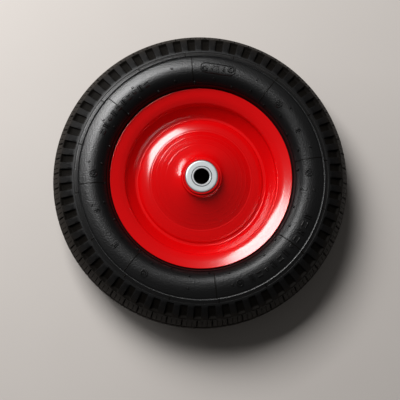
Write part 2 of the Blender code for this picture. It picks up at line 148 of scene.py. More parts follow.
# Inner tube and its valve
TUBE_BASE_LIFT = 0.0035         # over the bead seat
TUBE_BASE = SEAT_RADIUS + TUBE_BASE_LIFT
INNER_TUBE_GAP = 0.0007
INNER_TUBE_WALL = 0.0022
VALVE_ANGLE = math.radians(248)
VALVE_LENGTH = 0.0290           # rubber past the rim's sheet
VALVE_RADIUS = 0.0055
VALVE_TIP_RADIUS = 0.0045
VALVE_TIP_BEVEL = 0.0006
INSERT_RADIUS = 0.0032
INSERT_HEAD_RADIUS = 0.00385
INSERT_HEAD_LENGTH = 0.0080
INSERT_BORE_RADIUS = 0.0025
INSERT_INNER_RADIUS = 0.0015
INSERT_TIP_BEVEL = 0.00045
THREAD_DEPTH = 0.00035
THREAD_PITCH = 0.0008
CORE_RADIUS = 0.00212
CORE_BORE_RADIUS = 0.0010
CORE_LENGTH = 0.0090
CORE_DEPTH = 0.0010             # core below the insert's end
PIN_RADIUS = 0.0006
PIN_TIP_RADIUS = 0.0004
PIN_POINT = 0.0006              # from the insert's end down to where the pin narrows
PIN_SEAL_RADIUS = 0.0017
PIN_SEAL_THICKNESS = 0.0010
CAP_RADIUS = 0.0051
CAP_SKIRT = 0.0070
CAP_CROWN = 0.0024              # cap's top past the insert's end
CAP_BEVEL = 0.0001
CAP_RIBS = 24

# Roundness
RIM_SEGMENTS = 192
RING_SEGMENTS = 128
TUBE_SEGMENTS = 96
VALVE_SEGMENTS = 48
CORE_SEGMENTS = 32
PIN_SEGMENTS = 24


# Materials

COAT_IOR = 1.7                  # glossier than varnish, for clear reflections of the lamps


def noise(nodes, links, scale, detail):
    """Share that varies over the object."""
    place = nodes.new("ShaderNodeTexCoord")
    made = nodes.new("ShaderNodeTexNoise")
    made.inputs["Scale"].default_value = scale
    made.inputs["Detail"].default_value = detail
    links.new(place.outputs["Object"], made.inputs["Vector"])
    return made.outputs["Fac"]


def look(name, colour, other, roughness, metallic=0.0, grain=400.0, bump=0.0, coat=0.0,
         coat_roughness=0.06, wear=120.0, shine=0.5):
    """Two close colours mixed by a noise, with a fine bump of another noise."""
    made = bpy.data.materials.new(name)
    made.use_nodes = True
    nodes, links = made.node_tree.nodes, made.node_tree.links
    shader = nodes["Principled BSDF"]
    values = {"Roughness": roughness, "Metallic": metallic, "Specular IOR Level": shine,
              "Coat Weight": coat, "Coat Roughness": coat_roughness, "Coat IOR": COAT_IOR}
    for socket, value in values.items():
        shader.inputs[socket].default_value = value
    mix = nodes.new("ShaderNodeMix")
    mix.data_type = "RGBA"
    mix.inputs["A"].default_value = (*colour, 1)
    mix.inputs["B"].default_value = (*other, 1)
    links.new(noise(nodes, links, wear, detail=4), mix.inputs["Factor"])
    links.new(mix.outputs["Result"], shader.inputs["Base Color"])
    if bump:
        raised = nodes.new("ShaderNodeBump")
        raised.inputs["Strength"].default_value = 1.0
        raised.inputs["Distance"].default_value = bump
        links.new(noise(nodes, links, grain, detail=3), raised.inputs["Height"])
        links.new(raised.outputs["Normal"], shader.inputs["Normal"])
        if coat:
            links.new(raised.outputs["Normal"], shader.inputs["Coat Normal"])
    return made


def varied(nodes, links, source, socket, stops):
    """Socket value along a source, straight between (place, value) stops in rising order."""
    low, high = stops[0][0], stops[-1][0]
    span = nodes.new("ShaderNodeMapRange")
    span.inputs["From Min"].default_value = low
    span.inputs["From Max"].default_value = high
    links.new(source, span.inputs["Value"])
    ramp = nodes.new("ShaderNodeValToRGB")
    for k, (at, value) in enumerate([stops[0], stops[-1]] + stops[1:-1]):
        place = (at - low) / (high - low)
        stop = ramp.color_ramp.elements[k] if k < 2 else ramp.color_ramp.elements.new(place)
        stop.position = place
        stop.color = (value, value, value, 1)
    links.new(span.outputs["Result"], ramp.inputs["Fac"])
    links.new(ramp.outputs["Color"], socket)


def distance_out(nodes, links):
    """Distance from the wheel's axis."""
    place = nodes.new("ShaderNodeTexCoord")
    flat = nodes.new("ShaderNodeVectorMath")
    flat.operation = "MULTIPLY"
    flat.inputs[1].default_value = (1, 1, 0)
    links.new(place.outputs["Object"], flat.inputs[0])
    length = nodes.new("ShaderNodeVectorMath")
    length.operation = "LENGTH"
    links.new(flat.outputs["Vector"], length.inputs[0])
    return length.outputs["Value"]


def blended(made, share, colour):
    """Base colour of a material turned towards a plain one by a share."""
    nodes, links = made.node_tree.nodes, made.node_tree.links
    base = nodes["Principled BSDF"].inputs["Base Color"]
    mix = nodes.new("ShaderNodeMix")
    mix.data_type = "RGBA"
    mix.inputs["B"].default_value = (*colour, 1)
    links.new(share, mix.inputs["Factor"])
    links.new(base.links[0].from_socket, mix.inputs["A"])
    links.new(mix.outputs["Result"], base)


def tyre_look():
    """Moulded black rubber, browner and duller towards the tread; painted shade makes its hollows
    browner and less shiny. Stops are (distance from the axis, value), or (hollow share, value)
    for the last ones."""
    dust_grain = 260
    dust_stops = [(0.168, 0.0), (0.180, 0.15), (0.190, 0.8)]
    roughness_stops = [(0.115, 0.50), (0.124, 0.34), (0.162, 0.34), (0.168, 0.55), (0.195, 0.65)]
    shine_stops = [(0.115, 0.06), (0.1205, 0.15), (0.128, 0.30), (0.138, 0.45), (0.147, 0.80),
                   (0.164, 0.80), (0.170, 0.14), (0.195, 0.10)]
    hollow_shade_shine_stops = [(0.0, 1.0), (1.0, 0.3)]
    made = look("tyre_rubber", (0.0030, 0.0030, 0.0032), (0.0055, 0.0055, 0.0058), 0.42,
                grain=550.0, bump=0.00035, wear=60.0, shine=0.45)
    nodes, links = made.node_tree.nodes, made.node_tree.links
    shader = nodes["Principled BSDF"]
    radius = distance_out(nodes, links)
    dust = nodes.new("ShaderNodeMath")
    dust.operation = "MULTIPLY"
    varied(nodes, links, radius, dust.inputs[0], dust_stops)
    links.new(noise(nodes, links, dust_grain, detail=5), dust.inputs[1])
    # painted shade: hollows, pocket mouths and ridge feet turn browner and lose sheen
    hollow = nodes.new("ShaderNodeAttribute")
    hollow.attribute_name = "hollow"
    blended(made, dust.outputs["Value"], (0.030, 0.021, 0.013))
    blended(made, hollow.outputs["Fac"], (0.0062, 0.0053, 0.0044))
    varied(nodes, links, radius, shader.inputs["Roughness"], roughness_stops)
    shine = nodes.new("ShaderNodeMath")
    shine.operation = "MULTIPLY"
    varied(nodes, links, radius, shine.inputs[0], shine_stops)
    varied(nodes, links, hollow.outputs["Fac"], shine.inputs[1], hollow_shade_shine_stops)
    links.new(shine.outputs["Value"], shader.inputs["Specular IOR Level"])
    return made


def bearing_look():
    """Pale ground steel, with painted shade in the bore, which is coloured near black there."""
    made = look("bearing_steel", (0.70, 0.72, 0.74), (0.80, 0.81, 0.82), 0.38, 0.6, wear=300.0)
    nodes, links = made.node_tree.nodes, made.node_tree.links
    # painted shade: steel inside the axle's bore is coloured near black
    painted_bore_shade = nodes.new("ShaderNodeMath")
    painted_bore_shade.operation = "LESS_THAN"
    painted_bore_shade.inputs[1].default_value = BORE / 2 + FIT
    links.new(distance_out(nodes, links), painted_bore_shade.inputs[0])
    blended(made, painted_bore_shade.outputs["Value"], (0.012, 0.012, 0.012))
    return made


RUBBER = tyre_look()
SOFT_RUBBER = look("tube_rubber", (0.016, 0.016, 0.016), (0.024, 0.024, 0.024), 0.5,
                   bump=0.00002)
RED = look("red_paint", (0.76, 0.0008, 0.0020), (0.81, 0.0014, 0.0028), 0.30, grain=500.0,
           bump=0.000006, coat=1.0, coat_roughness=0.16, wear=30.0, shine=0.0)
ZINC = look("zinc_plate", (0.62, 0.66, 0.68), (0.72, 0.75, 0.76), 0.42, 0.6, grain=700.0,
            bump=0.00001, wear=350.0)
STEEL = bearing_look()
BRASS = look("brass", (0.60, 0.42, 0.16), (0.70, 0.50, 0.21), 0.30, 1.0, wear=300.0)
PLASTIC = look("black_plastic", (0.014, 0.014, 0.014), (0.020, 0.020, 0.020), 0.38,
               bump=0.00001)


# Mesh helpers

def finish(name, points, faces, material, smooth=35, hollow=None):
    """Object of a mesh, with the share of painted shade at each point where it is given."""
    mesh = bpy.data.meshes.new(name)
    mesh.from_pydata(points, [], faces)
    # painted shade share, read by the tyre's material
    if hollow is not None:
        mesh.attributes.new("hollow", "FLOAT", "POINT").data.foreach_set("value", hollow)
    bm = bmesh.new()
    bm.from_mesh(mesh)
    bmesh.ops.remove_doubles(bm, verts=bm.verts, dist=1e-6)
    bmesh.ops.recalc_face_normals(bm, faces=bm.faces)
    bm.to_mesh(mesh)
    bm.free()
    mesh.shade_smooth()
    mesh.set_sharp_from_angle(angle=math.radians(smooth))
    mesh.materials.append(material)
    made = bpy.data.objects.new(name, mesh)
    bpy.context.scene.collection.objects.link(made)
    return made


def rounded(corners):
    """Outline of (r, z, bend radius, arc steps) corners, each sharp one kept as it is."""
    points = []
    for i, (r, z, bend, steps) in enumerate(corners):
        here = Vector((r, z))
        if not bend:
            points.append(here)
            continue
        back = (Vector(corners[i - 1][:2]) - here).normalized()
        ahead = (Vector(corners[(i + 1) % len(corners)][:2]) - here).normalized()
        half = back.angle(ahead) / 2
        middle = here + (back + ahead).normalized() * (bend / math.sin(half))
        start = here + back * (bend / math.tan(half)) - middle
        end = here + ahead * (bend / math.tan(half)) - middle
        for k in range(steps + 1):
            points.append(middle + start.slerp(end, k / steps) * bend)
    return points


def offset(path, distance):
    """Open path moved sideways by a distance, to the left of its run."""
    moved = []
    for i, here in enumerate(path):
        runs = []
        if i > 0:
            runs.append((here - path[i - 1]).normalized())
        if i < len(path) - 1:
            runs.append((path[i + 1] - here).normalized())
        normals = [Vector((-run.y, run.x)) for run in runs]
        mitre = sum(normals, Vector((0, 0))).normalized()
        moved.append(here + mitre * (distance / mitre.dot(normals[0])))
    return moved


def turned(r, z, angles):
    """Ring of points at a radius and height, either of which may differ from point to point."""
    angles = np.asarray(angles)
    return np.stack([r * np.cos(angles), r * np.sin(angles), z + 0 * angles], 1)


def full_turn(segments):
    return np.arange(segments) * 2 * math.pi / segments


def bridge(rings):
    """Points and faces of a closed skin over rings, where one ring may have a whole number of
    points for each of its neighbour's."""
    starts = np.cumsum([0] + [len(ring) for ring in rings])
    faces = []
    for i in range(len(rings)):
        k = (i + 1) % len(rings)
        one = [int(starts[i]) + j for j in range(len(rings[i]))]
        other = [int(starts[k]) + j for j in range(len(rings[k]))]
        fine, coarse = (one, other) if len(one) > len(other) else (other, one)
        share = len(fine) // len(coarse)
        for j in range(len(coarse)):
            span = [fine[(j * share + s) % len(fine)] for s in range(share, -1, -1)]
            faces.append([coarse[j], coarse[(j + 1) % len(coarse)]] + span)
    return np.concatenate(rings).tolist(), faces


def revolve(name, section, segments, material, smooth=35):
    """Closed (r, z) section turned around the Z axis."""
    angles = full_turn(segments)
    points, faces = bridge([turned(r, z, angles) for r, z in section])
    return finish(name, points, faces, material, smooth)


def block(r_in, r_out, z_low, z_high, inner=0.0, outer=0.0):
    """Section of a ring with bevelled inner and outer edges at its top and bottom."""
    return [
        (r_in, z_low + inner), (r_in + inner, z_low), (r_out - outer, z_low),
        (r_out, z_low + outer), (r_out, z_high - outer), (r_out - outer, z_high),
        (r_in + inner, z_high), (r_in, z_high - inner)]


def show(piece, body, node):
    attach(piece, body)
    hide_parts(node)


def placed(piece, place):
    piece.data.transform(place)
    piece.data.update()
    return piece


def cut(target, cutter, operation):
    """Applied Boolean, after which the cutter is removed."""
    modifier = target.modifiers.new("cut", "BOOLEAN")
    modifier.operation = operation
    modifier.object = cutter
    bpy.context.view_layer.update()
    done = target.evaluated_get(bpy.context.evaluated_depsgraph_get())
    target.data = bpy.data.meshes.new_from_object(done)
    target.modifiers.clear()
    target.data.set_sharp_from_angle(angle=math.radians(30))
    bpy.data.objects.remove(cutter)


# Rim

def rim_path():
    """Middle of the pressed sheet, from the top of the neck to the lip."""
    seat = SEAT_RADIUS - SHEET / 2
    return rounded([
        (NECK_RADIUS, NECK_HEIGHT, 0, 0),
        (NECK_RADIUS, NECK_HEIGHT - NECK_LENGTH, NECK_BEND, 10),
        (NECK_RADIUS + FLARE_WIDTH, NECK_HEIGHT - FLARE_DROP, FLARE_BEND, 12),
        (CREASE_RADIUS, CREASE_HEIGHT, CREASE_BEND, 4),
        (VALLEY_START - BAND_EDGE, VALLEY_HEIGHT + BAND_DROP, BAND_BEND, 12),
        (VALLEY_START - BAND_FOOT_EDGE, VALLEY_HEIGHT + BAND_FOOT_DROP, BAND_FOOT_BEND, 3),
        (VALLEY_START, VALLEY_HEIGHT, VALLEY_INNER_BEND, 6),
        (VALLEY_END, VALLEY_HEIGHT, VALLEY_OUTER_BEND, 4),
        (seat - SEAT_TAPER, SEAT_START, SEAT_BEND, 3),
        (seat, FLANGE_FOOT - SHOULDER_SETBACK, SHOULDER_BEND, 8),
        (seat + FLANGE_TURN_HEIGHT, FLANGE_FOOT + FLANGE_TURN_LEAN, FLANGE_BEND, 10),
        (LIP_RADIUS, FLANGE_FOOT + FLANGE_LEAN, 0, 0),
    ])


def ringed(path, radius, height, width, steps=4):
    """Face of the sheet with a low pressed ring at a radius."""
    made = []
    for here, ahead in zip(path, path[1:]):
        made.append(here)
        run = ahead - here
        if not here.x + width < radius < ahead.x - width:
            continue
        normal = Vector((-run.y, run.x)).normalized()
        for k in range(-steps, steps + 1):
            at = radius + width * k / steps
            lift = height * (1 + math.cos(math.pi * k / steps)) / 2
            made.append(here + run * ((at - here.x) / run.x) + normal * lift)
    return made + [path[-1]]


def held(path, close=0.0003):
    """Path with points near both ends of its long straight runs, which keep them flat."""
    made = []
    for here, ahead in zip(path, path[1:]):
        run = ahead - here
        made.append(here)
        if run.length > 8 * close:
            made += [here + run.normalized() * close, ahead - run.normalized() * close]
    return made + [path[-1]]


def rim_half(end, side):
    """One pressing, its lip's edge rounded off flatter than a half circle."""
    path = rim_path()
    face = offset(path, SHEET / 2)
    for radius, height, width in PRESSED_RINGS:
        face = ringed(face, radius, height, width)
    back = offset(path, -SHEET / 2)[::-1]
    run = (path[-1] - path[-2]).normalized()
    out = Vector((-run.y, run.x))
    setback = SHEET / 4
    face[-1] = face[-1] - run * setback
    back[0] = back[0] - run * setback
    middle = path[-1] - run * setback
    edge = [middle + out * (math.cos(turn) * SHEET / 2) + run * (math.sin(turn) * setback)
            for turn in np.linspace(0, math.pi, 7)[1:-1].tolist()]
    section = [(r, side * z) for r, z in held(face) + edge + held(back)]
    made = revolve("rim_%s_skin" % end, section, RIM_SEGMENTS, RED, 30)
    show(made, "wheel", "rim_" + end)
    return made


def flange_inner_face():
    """Tyre's side of the flange, from the bead heel to just under the lip."""
    bend, lip = rim_path()[-2:]
    run = (lip - bend).normalized()
    heel = Vector((SEAT_RADIUS + FIT + SHOULDER_BEND / 4, FLANGE_FOOT - 0.8 * SHEET))
    return heel, lip + Vector((run.y, -run.x)) * (SHEET / 2 + FIT)


HEEL, LIP = flange_inner_face()


# Tyre

# Columns of points in one pitch, each as (phase, share of the depth)
COARSE = [(0, 0), (0.5, 0)]
PLAIN = [(k / 6, 0) for k in range(6)]
LUGS = [(0, 0.12), (0.02, 0), (0.15, 0), (0.31, 0), (0.44, 0), (0.46, 0.12), (0.485, 0.9),
        (0.505, 1), (0.66, 1), (0.82, 1), (0.955, 1), (0.975, 0.9)]
SIPES = [(0.038, 0), (0.063, 0.6), (0.088, 0), (0.23, 0), (0.372, 0), (0.397, 0.6),
         (0.422, 0), (0.546, 0), (0.67, 0), (0.73, 1.5), (0.79, 0), (0.914, 0)]
MOUTH_START, MOUTH_END = 0.47, 0.98     # phases of a pocket's mouth
FULL_SHADE_DEPTH = 0.0012                   # depth at which a hollow gets the full painted shade


def side_wall(r):
    """Half width of the plain side wall at a radius."""
    if r < WIDEST_RADIUS:
        narrowed = (LIP.y + SHEET) / HALF_SECTION
        reach = (WIDEST_RADIUS - LIP.x) / (1 - narrowed ** BULGE) ** (1 / BULGE)
        return HALF_SECTION * (1 - ((WIDEST_RADIUS - r) / reach) ** BULGE) ** (1 / BULGE)
    drop = math.hypot(r - WIDEST_RADIUS, SIDE_BEND) - SIDE_BEND
    full_drop = math.hypot(SHOULDER_RADIUS - WIDEST_RADIUS, SIDE_BEND) - SIDE_BEND
    return HALF_SECTION - (HALF_SECTION - HALF_TREAD) * drop / full_drop


def crown(z):
    """Radius of the tread at a height."""
    return TYRE_RADIUS - SHOULDER_DROP * (z / HALF_TREAD) ** 2


def ring(pattern, r, z, dr=0.0, dz=0.0, sunk=0.0, dark=0.0):
    """Ring of points with the column's share of a depth, each with its share of painted shade: by
    its depth, or dark across the mouth of a pocket."""
    pitch = 2 * math.pi / PITCHES
    angles = np.array([(i + phase) * pitch for i in range(PITCHES) for phase, _ in pattern])
    shares = np.array([share for _, share in pattern] * PITCHES)
    # painted shade across the pockets' mouths
    mouth = np.array([dark * (MOUTH_START < phase < MOUTH_END) for phase, _ in pattern] * PITCHES)
    hollow = np.clip((math.hypot(dr, dz) * shares + sunk) / FULL_SHADE_DEPTH, mouth, 1)
    return np.column_stack([turned(r + dr * shares, z + dz * shares, angles), hollow])


def bead_rings():
    """Rings from the bead toe over the heel to the flange's lip."""
    seat = SEAT_RADIUS + FIT
    return [ring(COARSE, seat, HEEL.y - BEAD_WIDTH), ring(COARSE, seat, HEEL.y - SHOULDER_BEND),
            ring(COARSE, HEEL.x, HEEL.y), ring(PLAIN, LIP.x + FIT, LIP.y)]


def side_rings():
    """Rings of the side wall: fitting line, plain bulge, and the raised band with its two
    lines. The pairs are (radius, lift over the plain wall)."""
    plain_start, plain_rings = 0.1258, 15
    fitting_line = ((0.1198, -0.0016), (0.1207, -0.0012), (0.1211, -0.0006), (0.1215, 0.0010),
                    (0.1220, 0.0013), (0.1226, 0.0012), (0.1230, -0.0003), (0.1238, 0))
    plain = [(r, 0) for r in np.linspace(plain_start, STEP_RADIUS - 0.0006, plain_rings)]
    band = ((STEP_RADIUS - 0.0001, -0.0005), (STEP_RADIUS + 0.0003, -0.0003),
            (STEP_RADIUS + 0.0006, 0.0008), (STEP_RADIUS + 0.0010, 0.0011),
            (0.1618, 0.0010), (0.1642, SIDE_STEP), (0.1647, SIDE_STEP - 0.0006),
            (0.1652, SIDE_STEP), (0.1668, SIDE_STEP))
    return [ring(PLAIN, r, side_wall(r) + lift) for r, lift in (*fitting_line, *plain, *band)]


def shoulder_rings():
    """Rings of the lugs, between pockets of (radius, depth), and two of the tread's edge. The
    pockets' mouths get painted shade from a radius on."""
    dark_radius = 0.18
    pockets = ((LUG_FOOT, 0), (0.1678, 0.0003), (0.1684, 0.0016), (0.1705, 0.0020),
               (0.1735, 0.0025), (0.1765, 0.0030), (0.1795, 0.0034), (0.1818, 0.0037),
               (0.1829, 0.0038), (0.1837, 0.0034), (0.1843, 0.0004))
    made = []
    for r, depth in pockets:
        step = -depth / math.sqrt(2)
        made.append(ring(LUGS, r, side_wall(r) + SIDE_STEP, step, step, dark=r > dark_radius))
    edge = ((LUGS, 0.1848, 0.0347), (SIPES, 0.1853, 0.0338))
    return made + [ring(pattern, r, z, dark=1) for pattern, r, z in edge]


def tread_rings():
    """Rings from the tread's edge over the groove to the middle rib. The pairs are (height,
    sipe depth), and (height, share of the depth) for the groove."""
    half_floor = 0.0011
    rib = [(0.0325, 0.0004), (0.0308, 0.0013)]
    rib += [(z, SIPE_DEPTH) for z in (0.0285, 0.0255, 0.0225, 0.0195, 0.0172)]
    rib += [(0.0158, 0.0007), (0.0149, 0), (HALF_RIB + GROOVE_WIDTH, 0)]
    groove = [(HALF_RIB + GROOVE_WIDTH / 2 + half_floor * way, share)
              for way, share in ((1, 0.9), (0, 1.0), (-1, 0.9))]
    middle_rib = [(HALF_RIB, 0), (0.0101, 0.0002)]
    middle_rib += [(z, MIDDLE_SIPE_DEPTH) for z in (0.0090, 0.0060, 0.0030)]
    made = [ring(SIPES, crown(z), z, -depth) for z, depth in rib]
    for z, share in groove:
        sunk = GROOVE_DEPTH * share
        made.append(ring(SIPES, crown(z) - sunk, z, sunk=sunk))
    return made + [ring(SIPES, crown(z), z, -depth) for z, depth in middle_rib]


def tyre_inside():
    """Points of the air space's wall, from a bead to the crown."""
    lower = (LIP_RADIUS + WIDEST_RADIUS) / 2
    upper = (WIDEST_RADIUS + INSIDE_RADIUS) / 2
    across = 1.1 * SIDEWALL     # the wall's width along Z where it slopes
    return [Vector(point) for point in (
        (SEAT_RADIUS + BEAD_HEIGHT, HEEL.y - BEAD_WIDTH),
        (LIP_RADIUS, LIP.y - SIDEWALL),
        (lower, side_wall(lower) - across),
        (WIDEST_RADIUS, HALF_SECTION - SIDEWALL),
        (upper, side_wall(upper) - across),
        (INSIDE_RADIUS - SHOULDER_DROP / 2, 0.62 * HALF_TREAD))]


def mirrored(rings):
    """Rings of the other side, in the order that carries on from these."""
    return [points * (1, 1, -1, 1) for points in rings[::-1]]


def tyre():
    half = bead_rings() + side_rings() + shoulder_rings() + tread_rings()
    middle = [ring(SIPES, crown(0), 0, -MIDDLE_SIPE_DEPTH)]
    inside = [ring(COARSE, point.x, -point.y) for point in tyre_inside()]
    points, faces = bridge(half + middle + mirrored(half) + inside + mirrored(inside))
    made = finish("tyre_skin", [point[:3] for point in points], faces, RUBBER, 38,
                  [point[3] for point in points])
    show(made, "wheel", "tyre")


# Relief on the front side wall, at angles in degrees from +X

LINE_ANGLES = (95, 53, 9.6, -36.8, -83, -129, -176, 140)
WALL_PARTS = 16                 # short lines and groups of vent nubs around the wall
RING_PLACES = ((0.1385, 43.6), (0.1391, 2.1), (0.1398, 178.9), (0.1460, -120.4),
               (0.1464, -70.6))
BARS_PLACES = ((0.1388, 25.9), (0.1420, -161.4), (0.1424, -140.6))
BARS_SIZE = (0.0024, 0.0034)

# Rows of small marks as (radius, first angle, step, half width, half height, kinds)
ROWS = ((0.1400, 121, 3.9, 0.0028, 0.0038,
         "dash bars dot dash bars dash bars dot bars dash"),
        (0.1465, -64, 4.3, 0.0034, 0.0046,
         "bars dash dot bars dash bars dot dash bars dash bars"))

# Ridges as (width, height)
BULGE_LINE = (0.0010, 0.0007)
BAND_LINE = (0.0014, 0.0009)
VENT_NUB = (0.0014, 0.0012)
LONG_FRAME = (0.0014, 0.0013)
FRAME_NUB = (0.0020, 0.0014)
FRAME_BAR = (0.0018, 0.0013)
RING_LINE = (0.0016, 0.0013)
RING_NUB = (0.0018, 0.0013)
MARK = (0.0018, 0.0014)
MARK_DOT = (0.0020, 0.0014)
RIDGE_FOOT = 1.7                # half width at the foot, in widths
RIDGE_SUNK = 0.0003             # foot below the wall


def wall_point(r, angle):
    """Point of the side wall, which rises to the raised band over a short width, and the
    direction straight out of it."""
    rise, near = 0.0008, 0.0005
    raised = min(max((r - STEP_RADIUS) / rise, 0), 1) * SIDE_STEP
    slope = (side_wall(r + near) - side_wall(r - near)) / (2 * near)
    normal = Vector((-slope * math.cos(angle), -slope * math.sin(angle), 1)).normalized()
    return Vector((r * math.cos(angle), r * math.sin(angle), side_wall(r) + raised)), normal


def ridges(name, paths, top=0):
    """Low moulded ridges along (r, angle) paths, each with its width, its height and whether it
    is closed. They get painted shade at their feet and, with top at 1, all over."""
    points, faces = [], []
    for path, width, height, closed in paths:
        start = len(points)
        places = [wall_point(*at) for at in path]
        count = len(places)
        for i, (here, normal) in enumerate(places):
            before = places[i - 1][0] if closed or i > 0 else here
            after = places[(i + 1) % count][0] if closed or i < count - 1 else here
            across = normal.cross((after - before).normalized()) * (width / 2)
            for share, lift in ((-RIDGE_FOOT, -RIDGE_SUNK), (-0.5, height), (0.5, height),
                                (RIDGE_FOOT, -RIDGE_SUNK)):
                points.append(here + across * share + normal * lift)
        for i in range(count if closed else count - 1):
            one, other = start + 4 * i, start + 4 * ((i + 1) % count)
            for k in range(4):
                faces.append([one + k, one + (k + 1) % 4, other + (k + 1) % 4, other + k])
        if not closed:
            last = start + 4 * (count - 1)
            faces.append([start + k for k in range(4)])
            faces.append([last + k for k in range(4)])
    # painted shade at the ridges' feet, and on their tops when top is 1
    hollow = [1, top, top, 1] * (len(points) // 4)
    made = finish(name, [tuple(point) for point in points], faces, RUBBER, 30, hollow)
    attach(made, "wheel")


def around(r, angle, dx, dy):
    """Place on the wall at an offset along the circle and along the radius."""
    return r + dy, angle + dx / r


def radial(angle, start, end):
    return [(r, angle) for r in np.linspace(start, end, 12)]


def loop(r, angle, half_width, half_height, corner, steps=5):
    """Rounded frame around a place on the wall."""
    path = []
    for k, (x, y) in enumerate(((1, 1), (-1, 1), (-1, -1), (1, -1))):
        for s in range(steps + 1):
            turn = math.pi / 2 * (k + s / steps)
            path.append(around(r, angle, x * (half_width - corner) + corner * math.cos(turn),
                               y * (half_height - corner) + corner * math.sin(turn)))
    return path


def dot(r, degrees, size):
    """Filled round nub as a path around its own middle."""
    return loop(r, math.radians(degrees), size, size, size, 2)


def mould_lines():
    """Fine radial lines over the bulge, and short ones across the raised band."""
    bulge, band, first = (0.1245, 0.1585), (0.1598, 0.1642), 7.8
    paths = [(radial(math.radians(degrees), *bulge), *BULGE_LINE, False)
             for degrees in LINE_ANGLES]
    for k in range(WALL_PARTS):
        angle = math.radians(first + 360 / WALL_PARTS * k)
        paths.append((radial(angle, *band), *BAND_LINE, False))
    ridges("mould_lines", paths, 1)


def vent_nubs():
    places, size = ((0.1465, 15.5), (0.1300, 15.5), (0.1252, 4.25)), 0.0007
    ridges("vent_nubs", [(dot(r, degrees + 360 / WALL_PARTS * k, size), *VENT_NUB, True)
                         for k in range(WALL_PARTS) for r, degrees in places])


def framed_mark():
    """Long rounded frame with a nub at both ends and three bars between them."""
    r, middle = 0.1440, 81.6
    half_width, half_height, corner = 0.0222, 0.0062, 0.0060
    nubs, nub_size = ((0.1425, 88.4), (0.1452, 74.9)), 0.0028
    bar_step, half_bar = 3.0, 0.0030
    made = [(loop(r, math.radians(middle), half_width, half_height, corner), *LONG_FRAME, True)]
    made += [(dot(*nub, nub_size), *FRAME_NUB, True) for nub in nubs]
    for way in (1, 0, -1):
        angle = math.radians(middle + way * bar_step)
        made.append((radial(angle, r - half_bar, r + half_bar), *FRAME_BAR, False))
    return made


def ring_mark(r, degrees):
    """Small ring with a nub in its middle."""
    size, nub_size = 0.0042, 0.0011
    return [(loop(r, math.radians(degrees), size, size, size), *RING_LINE, True),
            (dot(r, degrees, nub_size), *RING_NUB, True)]


def small_mark(r, degrees, half_width, half_height, kind):
    """Two bars, two dashes or a dot, which stand for one of the moulded marks."""
    middle, dot_size = math.radians(degrees), 0.0012
    if kind == "dot":
        return [(dot(r, degrees, dot_size), *MARK_DOT, True)]
    if kind == "dash":
        return [([around(r + rise, middle, half_width * k, 0) for k in np.linspace(-1, 1, 5)],
                 *MARK, False) for rise in (-half_height / 1.7, half_height / 1.7)]
    return [(radial(middle + way * half_width / 2 / r, r - half_height, r + half_height),
             *MARK, False) for way in (-1, 1)]


def relief():
    mould_lines()
    vent_nubs()
    marks = framed_mark()
    for place in RING_PLACES:
        marks += ring_mark(*place)
    for r, first, step, half_width, half_height, kinds in ROWS:
        for k, kind in enumerate(kinds.split()):
            marks += small_mark(r, first + step * k, half_width, half_height, kind)
    for place in BARS_PLACES:
        marks += small_mark(*place, *BARS_SIZE, "bars")
    ridges("side_marks", marks)


# Hub and bearings

def hub():
    """Tube with both bearings, and the spacer between their inner rings."""
    tube_bevels, spacer_bevel = (0.0003, 0.0006), 0.0004
    half = HUB_LENGTH / 2 - BEARING_PROUD
    tube = block(TUBE_BORE, TUBE_RADIUS, -half, half, *tube_bevels)
    show(revolve("hub_tube_skin", tube, RING_SEGMENTS, RED), "wheel", "hub_tube")
    half = HUB_LENGTH / 2 - BEARING_WIDTH - FIT
    spacer = block(BORE / 2, BORE / 2 + SPACER_WALL, -half, half, spacer_bevel, spacer_bevel)
    show(revolve("spacer_skin", spacer, TUBE_SEGMENTS, STEEL), "axle_seat", "spacer_sleeve")
    for end, way in (("front", 1), ("rear", -1)):
        bearing(end, way)


def bearing(end, way):
    """Both rings and the outer shield of one bearing, with their outer ends at the section's
    top. The bore widens there from its throat to its mouth."""
    half = BEARING_WIDTH / 2
    radius, bore = BEARING_DIAMETER / 2, BORE / 2
    chamfer, bevel, land_bevel = 0.0018, 0.0006, (0.0003, 0.0004)
    lead_in, throat, mouth = 0.0020, 0.0004, 0.0010
    shield_gap, shield_top, shield_foot, shield_edge = 0.00003, 0.00008, 0.0008, 0.0002

    def place(section):
        middle = way * (HUB_LENGTH - BEARING_WIDTH) / 2
        return [(r, middle + way * z) for r, z in section]

    edge = [(radius - chamfer * (1 - math.sin(turn)), half - chamfer * (1 - math.cos(turn)))
            for turn in np.linspace(math.pi / 2, 0, 7)]
    outer = [(radius, -half + chamfer)] + edge + [
        (OUTER_LAND, half), (OUTER_LAND, HALF_RACE), (OUTER_LAND + RACE_DEPTH, 0),
        (OUTER_LAND, -HALF_RACE), (OUTER_LAND, -half), (radius - chamfer, -half)]
    show(revolve(end + "_outer_ring_skin", place(outer), RING_SEGMENTS, ZINC, 25), "wheel",
         end + "_bearing_outer_ring")
    inner = [(bore, half - lead_in), (bore, -half + bevel), (bore + bevel, -half),
             (INNER_LAND, -half), (INNER_LAND, -HALF_RACE), (INNER_LAND - RACE_DEPTH, 0),
             (INNER_LAND, HALF_RACE), (INNER_LAND, half - land_bevel[1]),
             (INNER_LAND - land_bevel[0], half), (bore + mouth, half),
             (bore + throat, half - bevel)]
    show(revolve(end + "_inner_ring_skin", place(inner), RING_SEGMENTS, STEEL, 25), "axle_seat",
         end + "_bearing_inner_ring")
    shield = block(SHIELD_BORE, OUTER_LAND - shield_gap, half - shield_foot, half - shield_top,
                   shield_edge)
    show(revolve(end + "_shield_skin", place(shield), RING_SEGMENTS, ZINC, 25), "wheel",
         end + "_bearing_shield")


# Inner tube and valve

